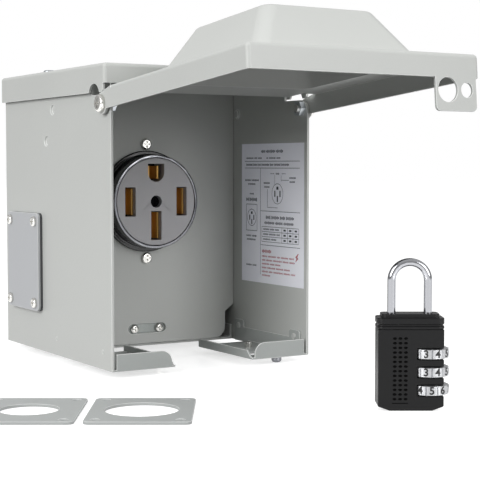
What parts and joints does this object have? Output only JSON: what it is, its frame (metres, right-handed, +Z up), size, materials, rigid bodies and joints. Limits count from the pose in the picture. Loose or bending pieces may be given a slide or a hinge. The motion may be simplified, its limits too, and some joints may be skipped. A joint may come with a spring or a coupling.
{
  "type": "outdoor power outlet box",
  "caption": "Wall-mounted steel outlet box with a swing-up lid, a round recessed power outlet, a combination padlock and spare hub plates with round holes.",
  "frame": {"origin": "centre of the four wall-mounting holes on the outer back face", "axes": "+X to the viewer's right, +Y into the wall, +Z up"},
  "size_m": [0.2875, 0.3164, 0.1922],
  "materials": {
    "grey_paint": "satin powder coat on steel",
    "plate_paint": "flat grey powder coat on steel",
    "zinc_steel": "zinc-plated steel",
    "bright_chrome": "polished plated steel",
    "clear_nylon": "natural nylon",
    "black_phenolic": "moulded thermoset, semi-gloss",
    "grey_phenolic": "moulded thermoset, satin",
    "contact_brass": "bare brass",
    "black_rubber": "closed-cell foam rubber",
    "label_paper": "printed vinyl-coated label",
    "black_enamel": "satin enamel on die-cast zinc",
    "dial_metal": "plated die-cast wheel with dark numerals",
    "spring_steel": "spring wire"
  },
  "bodies": {
    "box": {"housing": "grey_paint", "rear_floor": "grey_paint", "left_bracket": "grey_paint", "right_bracket": "grey_paint", "top_cap": "grey_paint", "dead_front": "grey_paint", "blank_hub_plate": "grey_paint", "bracket_rivets": "zinc_steel", "bracket_stud": "zinc_steel", "keeper_screw": "zinc_steel", "keeper_nut": "zinc_steel", "cap_screws": "zinc_steel", "ground_bar": "zinc_steel", "ground_bar_screws": "zinc_steel", "mounting_strap": "zinc_steel", "outlet_screws": "zinc_steel", "terminal_screws": "zinc_steel", "hub_plate_screws": "zinc_steel", "centre_screw": "zinc_steel", "left_hinge_screw": "bright_chrome", "right_hinge_screw": "bright_chrome", "left_hinge_nut": "zinc_steel", "right_hinge_nut": "zinc_steel", "hinge_washers": "clear_nylon", "outlet_rim": "bright_chrome", "outlet_collar": "black_phenolic", "outlet_base": "black_phenolic", "outlet_face": "grey_phenolic", "line_contacts": "contact_brass", "neutral_contact": "contact_brass", "ground_contact": "contact_brass", "hub_gasket": "black_rubber", "label": "label_paper"},
    "lid": {"lid": "grey_paint"},
    "padlock": {"padlock_body": "black_enamel", "padlock_collar": "black_enamel", "dial_spindle": "zinc_steel", "shackle_spring": "spring_steel"},
    "shackle": {"shackle": "bright_chrome"},
    "dial_1": {"dial_1": "dial_metal"},
    "dial_2": {"dial_2": "dial_metal"},
    "dial_3": {"dial_3": "dial_metal"},
    "small_hub_plate": {"small_hub_plate": "plate_paint"},
    "medium_hub_plate": {"medium_hub_plate": "plate_paint"},
    "large_hub_plate": {"large_hub_plate": "plate_paint"}
  },
  "joints": [
    {"name": "lid_hinge", "type": "hinge", "parent": "box", "child": "lid", "pos_m": [0, -0.1474, 0.0609], "axis": [1, 0, 0], "range_deg": [0, 94.8]},
    {"name": "padlock_lift", "type": "slide", "parent": "box", "child": "padlock", "axis": [0, 0, 1], "range_m": [0, 0.04]},
    {"name": "shackle_slide", "type": "slide", "parent": "padlock", "child": "shackle", "axis": [0, 0, 1], "range_m": [0, 0.011], "deforming": ["shackle_spring"]},
    {"name": "dial_1_spin", "type": "hinge", "parent": "padlock", "child": "dial_1", "pos_m": [0.02851, -0.30717, -0.0606], "axis": [0, 0, 1], "continuous": true},
    {"name": "dial_2_spin", "type": "hinge", "parent": "padlock", "child": "dial_2", "pos_m": [0.02851, -0.30717, -0.0692], "axis": [0, 0, 1], "continuous": true},
    {"name": "dial_3_spin", "type": "hinge", "parent": "padlock", "child": "dial_3", "pos_m": [0.02851, -0.30717, -0.0778], "axis": [0, 0, 1], "continuous": true},
    {"name": "small_hub_plate_lift", "type": "slide", "parent": "box", "child": "small_hub_plate", "axis": [0, 0, 1], "range_m": [0, 0.04]},
    {"name": "medium_hub_plate_lift", "type": "slide", "parent": "box", "child": "medium_hub_plate", "axis": [0, 0, 1], "range_m": [0, 0.04]},
    {"name": "large_hub_plate_lift", "type": "slide", "parent": "box", "child": "large_hub_plate", "axis": [0, 0, 1], "range_m": [0, 0.04]}
  ]
}
